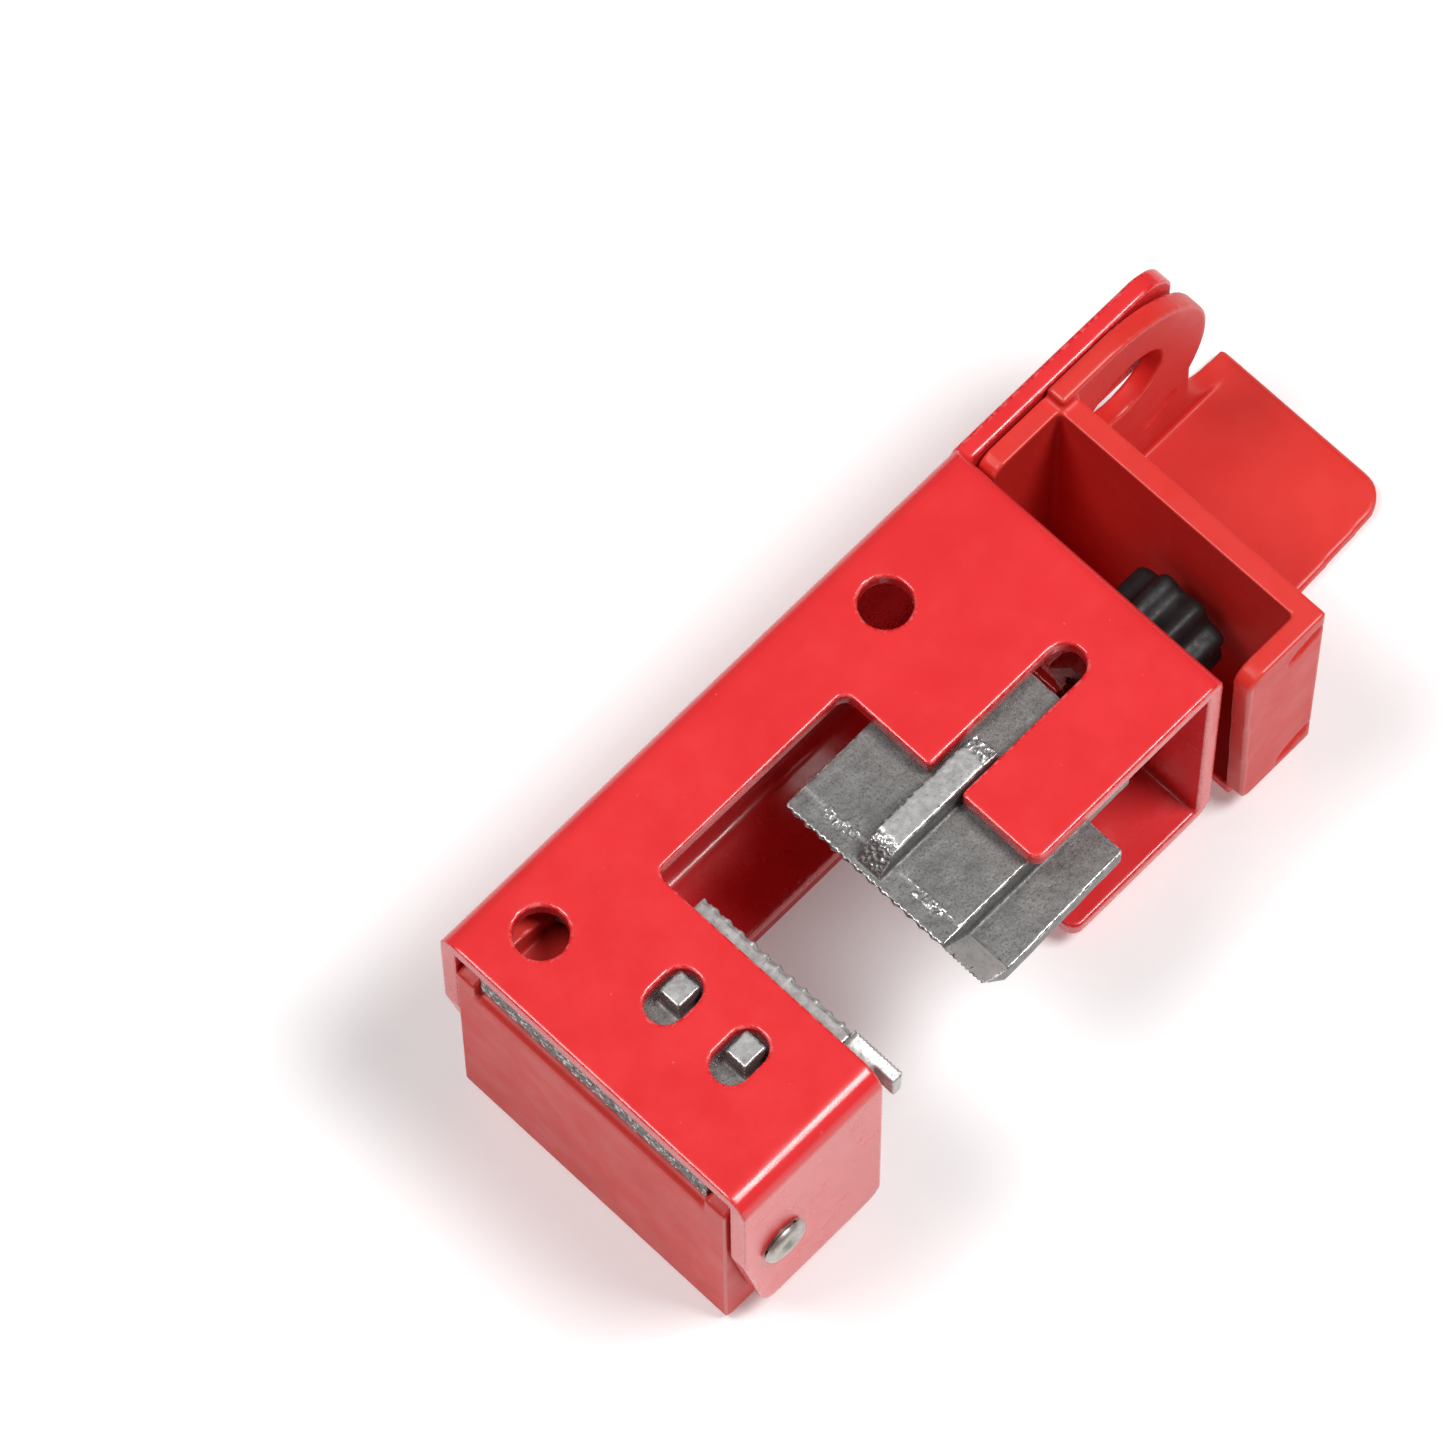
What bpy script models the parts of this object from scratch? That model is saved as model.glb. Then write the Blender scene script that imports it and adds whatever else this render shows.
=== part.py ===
"""Clamp-on circuit breaker lockout with a cam handle and a screw-driven jaw.

Sizes are in millimetres in a working frame: x from the pivot end to the finger tab, y = 0 on the
back wall's outer face with the front negative, z = 0 on the top plate. place() shifts a point so
that the object's origin is the bottom centre of its bounding box, and turns it into metres.
"""

import math

import bpy
from mathutils import Vector

MM = 0.001
GAP = 0.3

# Frame: one bent sheet.
SHEET = 2.2
FRAME_L = 75.0
FRAME_H = 34.7
PLATE_FRONT = -37.85
BEND_BACK_TOP = 2.6
BEND_BACK_BOTTOM = 4.7
BEND_END_TOP = 1.8
BEND_END_BOTTOM = 2.6
NOTCH_X0 = 19.9
NOTCH_X1 = 47.27
NOTCH_Y = -11.03
RIB_SLOT_Y = -25.05
RIB_SLOT_HALF = 2.15
RIB_SLOT_END = 65.05
EAR_Y = -42.75
HOLE_R = 2.9
HOLE_Y = -7.31
HOLE_XS = (7.26, 57.14)
TENON_X = 11.65
TENON_YS = (-21.54, -30.74)
TENON_SLOT_L = 6.7
TENON_SLOT_W = 4.3
STRIP_Y = -13.9
STRIP_X0 = 12.0
STRIP_X1 = 54.0

# Padlock tab on the back wall.
TAB_END = 105.5
TAB_TOP = -1.4
TAB_BOTTOM = -19.6
TAB_HOLE = (96.2, -12.2)
TAB_HOLE_R = 4.75

# Padlock ear on the handle.
EAR_CX = 93.0
EAR_CZ = -16.5
EAR_R = 15.6
EAR_HOLE = (96.03, -13.8)
EAR_HOLE_R = 5.55

# Cam pivot.
PIVOT_X = 5.3
PIVOT_Z = -18.2
PIVOT_BORE = 2.3
RIVET_R = 2.0
CAM_R = 11.3
CAM_DROP = 1.0
CHEEK_R = 13.4

# Jaws.
JAW_BACK = -5.3
JAW_FRONT = -37.0
CAM_FACE_X = 22.4
SCREW_FACE_X = 34.8
UNDERCUT = 32.0

# Clamp screw.
SCREW_Y = -25.05
SCREW_Z = -17.5
SCREW_R = 3.0
SCREW_BORE = 3.3
KNOB_PEAK = 6.5
KNOB_VALLEY = 5.25
KNOB_LOBES = 8
KNOB_TURN = 23.0

# Handle moulding.
HEEL_X = -0.3
BASE_Z = -37.6
HEEL_Z = -37.2
ARM_TOP = -35.1
HUB_Y0 = -40.2
HUB_Y1 = -2.5
GUARD_ARC_BACK = 71.9
GUARD_X0 = 77.0
CROSS_X0 = 85.6
CROSS_X1 = 88.1
GUARD_FRONT = -39.8
GUARD_TOP = -2.2
GUARD_BOTTOM = -34.8
FLOOR_TOP = -34.2
TIP_X = 114.9
FINGER_TOP = -36.0
FINGER_FRONT = -27.5

# Bounding box, which sets the object's origin.
RIVET_FRONT = -43.85
RIVET_BACK = 1.5
TENON_TOP = 0.4
ORIGIN = Vector(((HEEL_X + TIP_X) / 2, (RIVET_FRONT + RIVET_BACK) / 2, BASE_Z))

AXES = {"X": (1, 2, 0), "Y": (0, 2, 1), "Z": (0, 1, 2)}


def place(x, y, z):
    """A working point in the object's frame, in metres."""
    return (Vector((x, y, z)) - ORIGIN) * MM


def point_on(axis, a, b, along):
    """The working point at (a, b) in the plane across an axis, at a height along it."""
    spot = [0.0, 0.0, 0.0]
    first, second, third = AXES[axis]
    spot[first] = a
    spot[second] = b
    spot[third] = along
    return spot


def make(name, points, faces):
    """A mesh object from working points, with its faces turned outwards."""
    mesh = bpy.data.meshes.new(name)
    mesh.from_pydata([place(*p) for p in points], [], faces)
    mesh.update()
    obj = bpy.data.objects.new(name, mesh)
    bpy.context.scene.collection.objects.link(obj)
    corners = [[mesh.vertices[i].co for i in p.vertices] for p in mesh.polygons]
    volume = 0.0
    for face in corners:
        for i in range(1, len(face) - 1):
            volume += face[0].dot(face[i].cross(face[i + 1]))
    if volume < 0:
        mesh.flip_normals()
    return obj


def loft(name, axis, rings):
    """A solid through rings of equal length, each (height along the axis, outline)."""
    points = []
    faces = []
    count = len(rings[0][1])
    for along, outline in rings:
        points += [point_on(axis, a, b, along) for a, b in outline]
    for level in range(len(rings) - 1):
        low = level * count
        for i in range(count):
            j = (i + 1) % count
            faces.append((low + i, low + j, low + count + j, low + count + i))
    faces.append(tuple(reversed(range(count))))
    faces.append(tuple(range(len(points) - count, len(points))))
    return make(name, points, faces)


def prism(name, axis, outline, low, high):
    """An outline extruded along an axis."""
    return loft(name, axis, [(low, outline), (high, outline)])


def box(name, x, y, z):
    """A box from its three (low, high) pairs."""
    outline = [(x[0], y[0]), (x[1], y[0]), (x[1], y[1]), (x[0], y[1])]
    return prism(name, "Z", outline, z[0], z[1])


def circle(a, b, radius, count=48, turn=0.0):
    """Points of a circle."""
    steps = [turn + 2 * math.pi * i / count for i in range(count)]
    return [(a + radius * math.cos(t), b + radius * math.sin(t)) for t in steps]


def rod(name, axis, a, b, radius, low, high, count=48):
    """A cylinder along an axis."""
    return prism(name, axis, circle(a, b, radius, count), low, high)


def arc(a, b, radius, start, end, count):
    """Points of an arc, angles in degrees."""
    steps = [math.radians(start + (end - start) * i / count) for i in range(count + 1)]
    return [(a + radius * math.cos(t), b + radius * math.sin(t)) for t in steps]


def rounded(corners, count=6):
    """An outline from (a, b) or (a, b, radius) corners, each radius made into an arc."""
    outline = []
    for i, corner in enumerate(corners):
        here = Vector(corner[:2])
        if len(corner) < 3:
            outline.append(tuple(here))
            continue
        to_last = (Vector(corners[i - 1][:2]) - here).normalized()
        to_next = (Vector(corners[(i + 1) % len(corners)][:2]) - here).normalized()
        half = to_last.angle(to_next) / 2
        centre = here + (to_last + to_next).normalized() * corner[2] / math.sin(half)
        begin = here + to_last * corner[2] / math.tan(half) - centre
        sweep = math.pi - 2 * half
        if to_last.x * to_next.y - to_last.y * to_next.x > 0:
            sweep = -sweep
        for k in range(count + 1):
            t = sweep * k / count
            turned_a = begin.x * math.cos(t) - begin.y * math.sin(t)
            turned_b = begin.x * math.sin(t) + begin.y * math.cos(t)
            outline.append((centre.x + turned_a, centre.y + turned_b))
    return outline


def combine(obj, tools, operation):
    """Applies a Boolean with each tool, then removes the tools."""
    for tool in tools:
        modifier = obj.modifiers.new("boolean", "BOOLEAN")
        modifier.operation = operation
        modifier.solver = "EXACT"
        modifier.object = tool
    graph = bpy.context.evaluated_depsgraph_get()
    graph.update()
    mesh = bpy.data.meshes.new_from_object(obj.evaluated_get(graph))
    obj.modifiers.clear()
    obj.data = mesh
    for tool in tools:
        bpy.data.objects.remove(tool)
    return obj


def add(obj, *tools):
    """Joins solids to an object."""
    return combine(obj, tools, "UNION")


def cut(obj, *tools):
    """Cuts solids from an object."""
    return combine(obj, tools, "DIFFERENCE")


def keep(obj, *tools):
    """Keeps what an object shares with each solid."""
    return combine(obj, tools, "INTERSECT")


def finish(obj, material, x=0.0, y=0.0, z=0.0):
    """Names, shades and colours a node, and sets its origin at a working point."""
    origin = place(x, y, z)
    for vertex in obj.data.vertices:
        vertex.co -= origin
    obj.location = origin
    obj.data.materials.clear()
    obj.data.materials.append(material)
    for face in obj.data.polygons:
        face.material_index = 0
        face.use_smooth = True
    obj.data.set_sharp_from_angle(angle=math.radians(28))
    obj.data.name = obj.name
    return obj


def paint(name, colour, roughness, metallic=0.0):
    """A Principled material."""
    material = bpy.data.materials.new(name)
    material.use_nodes = True
    shader = material.node_tree.nodes["Principled BSDF"]
    shader.inputs["Base Color"].default_value = (*colour, 1.0)
    shader.inputs["Roughness"].default_value = roughness
    shader.inputs["Metallic"].default_value = metallic
    material.diffuse_color = (*colour, 1.0)
    return material


def envelope():
    """The frame's outer form, with its bend radii."""
    across = rounded(
        [
            (0, 0, BEND_BACK_TOP),
            (0, -FRAME_H, BEND_BACK_BOTTOM),
            (EAR_Y, -FRAME_H),
            (EAR_Y, 0, BEND_BACK_TOP),
        ]
    )
    along = rounded(
        [
            (-5, 0),
            (FRAME_L, 0, BEND_END_TOP),
            (FRAME_L, -FRAME_H, BEND_END_BOTTOM),
            (-5, -FRAME_H),
        ]
    )
    solid = prism("envelope", "X", across, 0, FRAME_L + 5)
    return keep(solid, prism("envelope_end", "Y", along, EAR_Y - 5, 5))


def top_plate():
    """Top plate with the toggle notch and the open rib slot."""
    slot_low = RIB_SLOT_Y - RIB_SLOT_HALF
    slot_high = RIB_SLOT_Y + RIB_SLOT_HALF
    outline = rounded(
        [
            (0, 0),
            (0, EAR_Y),
            (NOTCH_X0, EAR_Y),
            (NOTCH_X0, NOTCH_Y, 1.3),
            (NOTCH_X1, NOTCH_Y, 1.3),
            (NOTCH_X1, slot_high, 0.5),
            (RIB_SLOT_END + RIB_SLOT_HALF, slot_high, RIB_SLOT_HALF - 0.01),
            (RIB_SLOT_END + RIB_SLOT_HALF, slot_low, RIB_SLOT_HALF - 0.01),
            (NOTCH_X1, slot_low, 0.5),
            (NOTCH_X1, PLATE_FRONT, 1.3),
            (FRAME_L, PLATE_FRONT, 1.0),
            (FRAME_L, 0),
        ]
    )
    return prism("top_plate", "Z", outline, -SHEET, 0)


def pivot_edge(bottom):
    """Corners of an ear's slanting edge at the pivot end, going down."""
    return [(0, 0), (0, -17, 6.0), (2.9, bottom, 2.4)]


def back_wall():
    """Back wall, relieved at the pivot end where the bottom strip starts."""
    corners = pivot_edge(-32.3)
    corners += [(STRIP_X0 - 1.5, -32.3, 1.0), (STRIP_X0, -FRAME_H)]
    corners += [(FRAME_L, -FRAME_H), (FRAME_L, 0)]
    return prism("back_wall", "Y", rounded(corners), -SHEET, 0)


def front_ear():
    """Front ear that carries the rivet."""
    corners = pivot_edge(-33.6)
    corners += [(NOTCH_X0, -33.6, 1.8), (NOTCH_X0, 0)]
    return prism("front_ear", "Y", rounded(corners), EAR_Y, EAR_Y + SHEET)


def bottom_plate():
    """Bottom plate: a strip beside the toggle opening, wider under the screw jaw."""
    outline = rounded(
        [
            (STRIP_X0, 0),
            (STRIP_X0, STRIP_Y, 1.0),
            (STRIP_X1, STRIP_Y, 1.3),
            (STRIP_X1, PLATE_FRONT, 1.5),
            (FRAME_L, PLATE_FRONT, 1.0),
            (FRAME_L, 0),
        ]
    )
    return prism("bottom_plate", "Z", outline, -FRAME_H, SHEET - FRAME_H)


def end_wall():
    """End wall that holds the clamp screw."""
    outline = [
        (PLATE_FRONT, 0),
        (PLATE_FRONT, -FRAME_H),
        (0, -FRAME_H),
        (0, 0),
    ]
    return prism("end_wall", "X", outline, FRAME_L - SHEET, FRAME_L)


def inside_fillet():
    """The bend's inner radius between back wall and bottom plate."""
    radius = BEND_BACK_BOTTOM - SHEET
    y = -SHEET - radius
    z = SHEET - FRAME_H + radius
    outline = arc(y, z, radius, -90, 0, 6)
    outline += [(-SHEET + 0.8, z), (-SHEET + 0.8, z - radius - 0.8), (y, z - radius - 0.8)]
    return prism("inside_fillet", "X", outline, STRIP_X0, FRAME_L - SHEET + 0.5)


def lock_tab():
    """Padlock tab that carries the back wall on past the end wall."""
    outline = rounded(
        [
            (FRAME_L - 0.4, TAB_TOP),
            (TAB_END, TAB_TOP, 5.0),
            (TAB_END, TAB_BOTTOM, 5.0),
            (FRAME_L - 0.4, TAB_BOTTOM),
        ],
        10,
    )
    return prism("lock_tab", "Y", outline, -SHEET, 0)


def tenon_slot(y):
    """A round-ended slot along x through the top plate."""
    half = TENON_SLOT_W / 2
    run = TENON_SLOT_L / 2 - half
    outline = arc(TENON_X + run, y, half, -90, 90, 12)
    outline += arc(TENON_X - run, y, half, 90, 270, 12)
    return prism("tenon_slot", "Z", outline, -SHEET - 2, 2)


def build_frame(material):
    """The bent steel frame."""
    frame = top_plate()
    frame.name = "frame"
    add(frame, back_wall(), front_ear(), bottom_plate(), end_wall())
    keep(frame, envelope())
    add(frame, inside_fillet())
    add(frame, lock_tab())
    tools = [tenon_slot(y) for y in TENON_YS]
    for x in HOLE_XS:
        tools.append(rod("hole", "Z", x, HOLE_Y, HOLE_R, -SHEET - 2, 2))
    tools.append(rod("lock_hole", "Y", *TAB_HOLE, TAB_HOLE_R, -5, 3, 64))
    tools.append(rod("pivot_hole", "Y", PIVOT_X, PIVOT_Z, PIVOT_BORE, EAR_Y - 3, 3, 32))
    tools.append(rod("screw_hole", "X", SCREW_Y, SCREW_Z, 3.4, 70, 78, 40))
    cut(frame, *tools)
    return finish(frame, material)


def undercut_x(top_x, top_z, z, way):
    """The x of a face that leans back under a jaw, way being +1 or -1."""
    return top_x + way * (top_z - z) * math.tan(math.radians(UNDERCUT))


def build_cam_jaw(material):
    """Jaw that the cam pushes: tenons, arm, toothed bar and a lower wall for the cam."""
    jaw = box("cam_jaw", (0.4, 18.6), (JAW_FRONT, JAW_BACK), (-6.9, -2.5))
    low_x = undercut_x(CAM_FACE_X, -3.4, -8.2, -1)
    face = [(18.3, -2.6), (CAM_FACE_X - 0.05, -2.6), (CAM_FACE_X, -3.4), (low_x, -8.2), (18.3, -8.2)]
    bar = prism("bar", "Y", face, -40.25, -15.6)
    tongue = box("tongue", (21.1, CAM_FACE_X + 0.2), (-43.0, -36.5), (-6.9, -2.6))
    wall = box("wall", (16.9, 19.0), (JAW_FRONT, JAW_BACK), (-21.5, -6.0))
    tools = [bar, tongue, wall]
    for y in TENON_YS:
        tools.append(box("tenon", (11.0, 14.1), (y - 1.375, y + 1.375), (-3.5, TENON_TOP)))
    add(jaw, *tools)
    # The front end slopes away behind the teeth, and the arm clears the frame's mounting hole.
    slope = [(CAM_FACE_X + 1, -2.75), (18.65, -4.2), (18.65, 0), (CAM_FACE_X + 1, 0)]
    relief = rod("relief", "Z", HOLE_XS[0], HOLE_Y, HOLE_R + 1.2, -9, 0)
    cut(jaw, prism("slope", "Y", slope, -44, -36.6), relief)
    return finish(jaw, material, TENON_X, SCREW_Y, -4.7)


def build_screw_jaw(material):
    """Jaw that the clamp screw drives: toothed slab with a front wing, a guide rib and a boss."""
    foot_x = undercut_x(SCREW_FACE_X + 0.05, -3.6, -9.1, 1)
    face = [
        (SCREW_FACE_X, -3.0),
        (62.8, -3.0),
        (62.8, -9.1),
        (foot_x, -9.1),
        (SCREW_FACE_X + 0.05, -3.6),
    ]
    jaw = prism("screw_jaw", "Y", face, -36.4, -14.4)
    face = [
        (SCREW_FACE_X + 0.1, -3.6),
        (38.9, -6.6),
        (57.0, -6.6),
        (57.0, -9.1),
        (foot_x + 0.05, -9.1),
    ]
    wing = prism("wing", "Y", face, -42.5, -36.0)
    plan = rounded([(34, -35), (34, -42, 1.6), (40, -42), (56.2, -41.6, 0.4), (56.2, -35)])
    keep(wing, prism("wing_plan", "Z", plan, -12, 0))
    face = [(35.9, -3.4), (35.9, -2.6), (37.6, TENON_TOP), (53.2, TENON_TOP), (53.2, -3.4)]
    rib = prism("rib", "Y", face, -26.95, -23.75)
    low_y = SCREW_Y - 6.45
    high_y = SCREW_Y + 6.45
    outline = rounded([(low_y, -8.5), (low_y, -24, 5.0), (high_y, -24, 5.0), (high_y, -8.5)])
    boss = prism("boss", "X", outline, 46, 59)
    add(jaw, wing, rib, boss)
    cut(jaw, rod("bore", "X", SCREW_Y, SCREW_Z, SCREW_BORE, 44, 61, 40))
    return finish(jaw, material, 50, SCREW_Y, SCREW_Z)


def turned(name, profile, count=40):
    """A solid of (x, radius) steps turned about the clamp screw's axis."""
    rings = [(x, circle(SCREW_Y, SCREW_Z, radius, count)) for x, radius in profile]
    return loft(name, "X", rings)


def build_screw_parts(steel, black):
    """Everything that turns with the knob."""
    screw = turned("clamp_screw", [(50, 2.4), (50.8, SCREW_R), (81.2, SCREW_R), (81.7, 2.5)])
    finish(screw, steel, 50, SCREW_Y, SCREW_Z)
    nut = prism("lock_nut", "X", circle(SCREW_Y, SCREW_Z, 5.0 / math.cos(math.pi / 6), 6), 69.0, 71.4)
    cut(nut, rod("bore", "X", SCREW_Y, SCREW_Z, SCREW_BORE, 68, 73, 40))
    finish(nut, steel, 69, SCREW_Y, SCREW_Z)
    for name, low, high, radius in (("inner_washer", 71.7, 72.5, 5.6), ("outer_washer", 75.3, 76.3, 5.4)):
        washer = rod(name, "X", SCREW_Y, SCREW_Z, radius, low, high)
        cut(washer, rod("bore", "X", SCREW_Y, SCREW_Z, SCREW_BORE, low - 1, high + 1, 40))
        finish(washer, steel, low, SCREW_Y, SCREW_Z)
    knob = loft("thumb_knob", "X", [(x, lobes(scale)) for x, scale in KNOB_STEPS])
    cut(knob, rod("bore", "X", SCREW_Y, SCREW_Z, SCREW_BORE, 74, 82.0, 40))
    finish(knob, black, 76.6, SCREW_Y, SCREW_Z)


KNOB_STEPS = ((76.6, 0.94), (77.0, 1.0), (82.9, 1.0), (83.3, 0.975), (83.5, 0.92))


def lobes(scale, count=96):
    """The knob's outline, with round lobes and shallow valleys."""
    outline = []
    middle = (KNOB_PEAK + KNOB_VALLEY) / 2
    swing = (KNOB_PEAK - KNOB_VALLEY) / 2
    for i in range(count):
        t = 2 * math.pi * i / count
        radius = scale * (middle + swing * math.cos(KNOB_LOBES * (t - math.radians(KNOB_TURN))))
        outline.append((SCREW_Y + radius * math.cos(t), SCREW_Z + radius * math.sin(t)))
    return outline


def hub_outline():
    """Side view of heel block and cam lobe."""
    top = PIVOT_Z + 10.0
    outline = rounded([(11, HEEL_Z), (HEEL_X, HEEL_Z, 1.0), (HEEL_X, top, 1.2), (4.0, top)])[:-1]
    for i in range(25):
        angle = 90 - 5 * i
        radius = CAM_R - CAM_DROP * max(angle, 0) / 90
        x = PIVOT_X + radius * math.cos(math.radians(angle))
        z = PIVOT_Z + radius * math.sin(math.radians(angle))
        outline.append((x, min(z, top)))
    outline.append((11, -28.5))
    return outline


def guard_back():
    """Back wall of the guard, its left edge an arc about the pivot so that it swings past the frame."""
    low = math.degrees(math.asin((BASE_Z + 0.6 - PIVOT_Z) / GUARD_ARC_BACK))
    high = math.degrees(math.asin((GUARD_TOP - 1.6 - PIVOT_Z) / GUARD_ARC_BACK))
    outline = [(GUARD_X0, BASE_Z)]
    outline += arc(PIVOT_X, PIVOT_Z, GUARD_ARC_BACK, low, high, 12)
    end_x, end_z = outline[-1]
    outline += [(end_x + 0.25, end_z + 0.75), (end_x + 0.75, end_z + 1.3), (end_x + 1.5, GUARD_TOP)]
    outline += [(CROSS_X1, GUARD_TOP), (CROSS_X1, BASE_Z)]
    return prism("guard_back", "Y", outline, -4.8, HUB_Y1)


def guard_front():
    """Front wall of the guard."""
    outline = rounded(
        [
            (76.65, GUARD_TOP, 2.2),
            (77.6, GUARD_BOTTOM, 1.4),
            (CROSS_X1, GUARD_BOTTOM, 0.8),
            (CROSS_X1, GUARD_TOP),
        ]
    )
    return prism("guard_front", "Y", outline, GUARD_FRONT, -37.4)


def lock_ear():
    """Padlock ear that runs down into the finger tab's back edge with a wide fillet."""
    corners = arc(EAR_CX, EAR_CZ, EAR_R, 92, -30, 24)
    foot_x = EAR_CX + EAR_R * math.cos(math.radians(30)) + 0.25
    corners += arc(foot_x + 6.0, FINGER_TOP + 6.0, 6.0, 180, 270, 10)
    corners += [(TIP_X - 2.0, FINGER_TOP), (TIP_X - 2.0, BASE_Z + 0.2)]
    corners += [(CROSS_X0 + 0.5, BASE_Z + 0.2), (CROSS_X0 + 0.5, EAR_CZ + EAR_R)]
    return prism("lock_ear", "Y", corners, -4.9, HUB_Y1)


def finger_tab():
    """Flat finger tab beyond the guard, under its floor."""
    side = rounded(
        [
            (84.0, BASE_Z),
            (84.0, FINGER_TOP),
            (TIP_X, FINGER_TOP, 0.7),
            (TIP_X, BASE_Z, 0.7),
        ]
    )
    tab = prism("finger_tab", "Y", side, -30, HUB_Y1)
    plan = rounded(
        [
            (80, HUB_Y1),
            (TIP_X + 0.01, HUB_Y1, 0.5),
            (TIP_X + 0.01, FINGER_FRONT + 0.7, 3.8),
            (CROSS_X1, FINGER_FRONT - 0.8),
            (80, FINGER_FRONT - 0.8),
        ]
    )
    return keep(tab, prism("tab_plan", "Z", plan, -45, -20))


def build_handle(material):
    """The one-piece handle: cam hub, arm, guard box, padlock ear and finger tab."""
    handle = prism("handle", "Y", hub_outline(), HUB_Y0, HUB_Y1)
    for y in ((HUB_Y0, -37.3), (-5.0, HUB_Y1)):
        cheek = rod("cheek", "Y", PIVOT_X, PIVOT_Z, CHEEK_R, y[0], y[1], 64)
        cut(cheek, box("clip", (-20, HEEL_X), (-60, 10), (-50, 10)))
        add(handle, cheek)
    arm = box("arm", (8.0, CROSS_X1 - 0.5), (-13.6, HUB_Y1), (BASE_Z, ARM_TOP))
    floor = box("floor", (GUARD_X0 + 0.6, CROSS_X1), (-38.0, HUB_Y1), (BASE_Z + 1.4, FLOOR_TOP))
    cross = box("cross", (CROSS_X0, CROSS_X1), (GUARD_FRONT, HUB_Y1), (GUARD_BOTTOM, GUARD_TOP))
    add(handle, arm, floor, guard_back(), guard_front(), cross, lock_ear(), finger_tab())
    bore = rod("bore", "Y", PIVOT_X, PIVOT_Z, PIVOT_BORE, -50, 5, 32)
    cut(handle, bore, rod("lock_hole", "Y", *EAR_HOLE, EAR_HOLE_R, -8, 2, 64))
    return finish(handle, material, PIVOT_X, (HUB_Y0 + HUB_Y1) / 2, PIVOT_Z)


def build_rivet(material):
    """Semi-tubular rivet: domed head at the back, rolled end with a recess at the front."""
    profile = (
        (RIVET_FRONT + 0.75, 0.9),
        (RIVET_FRONT + 0.25, 1.2),
        (RIVET_FRONT, 1.6),
        (RIVET_FRONT + 0.1, 2.3),
        (RIVET_FRONT + 0.45, 2.8),
        (EAR_Y - GAP, 2.6),
        (EAR_Y - GAP, RIVET_R),
        (GAP, RIVET_R),
        (GAP, 3.2),
        (0.6, 3.4),
        (1.1, 2.7),
        (RIVET_BACK, 1.2),
    )
    rings = [(y, circle(PIVOT_X, PIVOT_Z, radius, 32)) for y, radius in profile]
    rivet = loft("pivot_rivet", "Y", rings)
    return finish(rivet, material, PIVOT_X, 0, PIVOT_Z)


def main():
    for obj in list(bpy.data.objects):
        bpy.data.objects.remove(obj)
    red = paint("red_powder_coat", (0.75, 0.03, 0.035), 0.3)
    plastic = paint("orange_red_plastic", (0.72, 0.05, 0.035), 0.5)
    zinc = paint("zinc_casting", (0.36, 0.36, 0.36), 0.5, 0.85)
    steel = paint("zinc_plated_steel", (0.6, 0.6, 0.6), 0.3, 1.0)
    black = paint("black_plastic", (0.02, 0.02, 0.022), 0.45)
    build_frame(red)
    build_cam_jaw(zinc)
    build_screw_jaw(zinc)
    build_screw_parts(steel, black)
    build_handle(plastic)
    build_rivet(steel)


main()
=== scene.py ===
"""Looks for the clamp-on circuit breaker lockout: a red bent sheet frame, a toothed cam jaw and a
toothed screw jaw in grey casting, a black thumb knob on its screw, and a moulded handle with a
guard, a padlock ear and a finger tab.

Working sizes are in millimetres in the part's working frame (x towards the finger tab, y = 0 on the
back wall, z = 0 on the top plate); at() turns them into the row frame.
"""

import math

import bmesh
import bpy
import numpy as np
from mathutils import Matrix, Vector, noise
from mathutils.bvhtree import BVHTree


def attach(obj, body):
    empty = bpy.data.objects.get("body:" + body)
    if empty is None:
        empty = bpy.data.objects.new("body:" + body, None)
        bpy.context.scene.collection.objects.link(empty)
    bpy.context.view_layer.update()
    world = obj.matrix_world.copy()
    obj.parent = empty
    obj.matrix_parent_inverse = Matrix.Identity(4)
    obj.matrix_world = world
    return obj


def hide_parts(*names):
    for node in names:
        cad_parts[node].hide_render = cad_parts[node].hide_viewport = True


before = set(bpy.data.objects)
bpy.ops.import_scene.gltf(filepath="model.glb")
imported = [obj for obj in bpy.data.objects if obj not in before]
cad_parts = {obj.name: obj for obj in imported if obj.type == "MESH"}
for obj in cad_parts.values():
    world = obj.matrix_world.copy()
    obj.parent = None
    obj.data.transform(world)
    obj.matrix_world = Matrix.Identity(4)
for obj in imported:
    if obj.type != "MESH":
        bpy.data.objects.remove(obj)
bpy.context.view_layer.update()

MM = 0.001
ORIGIN = Vector((57.3, -21.175, -37.6))

SCREW_Y, SCREW_Z = -25.05, -17.5
PIVOT_X, PIVOT_Z = 5.3, -18.2

# The photograph's viewpoint, in metres and degrees.
CAMERA_AT = (-0.26549, -0.228765, 0.88761)
CAMERA_TILT, CAMERA_ROLL, CAMERA_TURN = 22.165, 0.386, -45.830
LENS = 226.3

# Sizes in millimetres and bends in radians a millimetre.
JAW_VOXEL, HANDLE_VOXEL, FRAME_VOXEL = 0.17, 0.27, 0.25
JAW_BEND, HANDLE_BEND, FRAME_BEND = 1.6, 0.9, 1.0
CAM_STEP_Y, SCREW_STEP_Y = -36.4, -36.6
COARSE_PITCH, FINE_PITCH, CAM_FINE_PITCH, SCALLOP_PITCH = 1.75, 0.55, 0.48, 1.8
RIB_HALF = 0.7
GUARD_FACE_Y = -39.8


def at(x, y, z):
    return (Vector((x, y, z)) - ORIGIN) * MM


# ---------------------------------------------------------------- mesh helpers


def build(name, points, faces, sharp=None):
    """A mesh object from points in working millimetres."""
    mesh = bpy.data.meshes.new(name)
    mesh.from_pydata([tuple(at(*p)) for p in points], [], faces)
    mesh.update()
    return settle(name, mesh, sharp)


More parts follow.
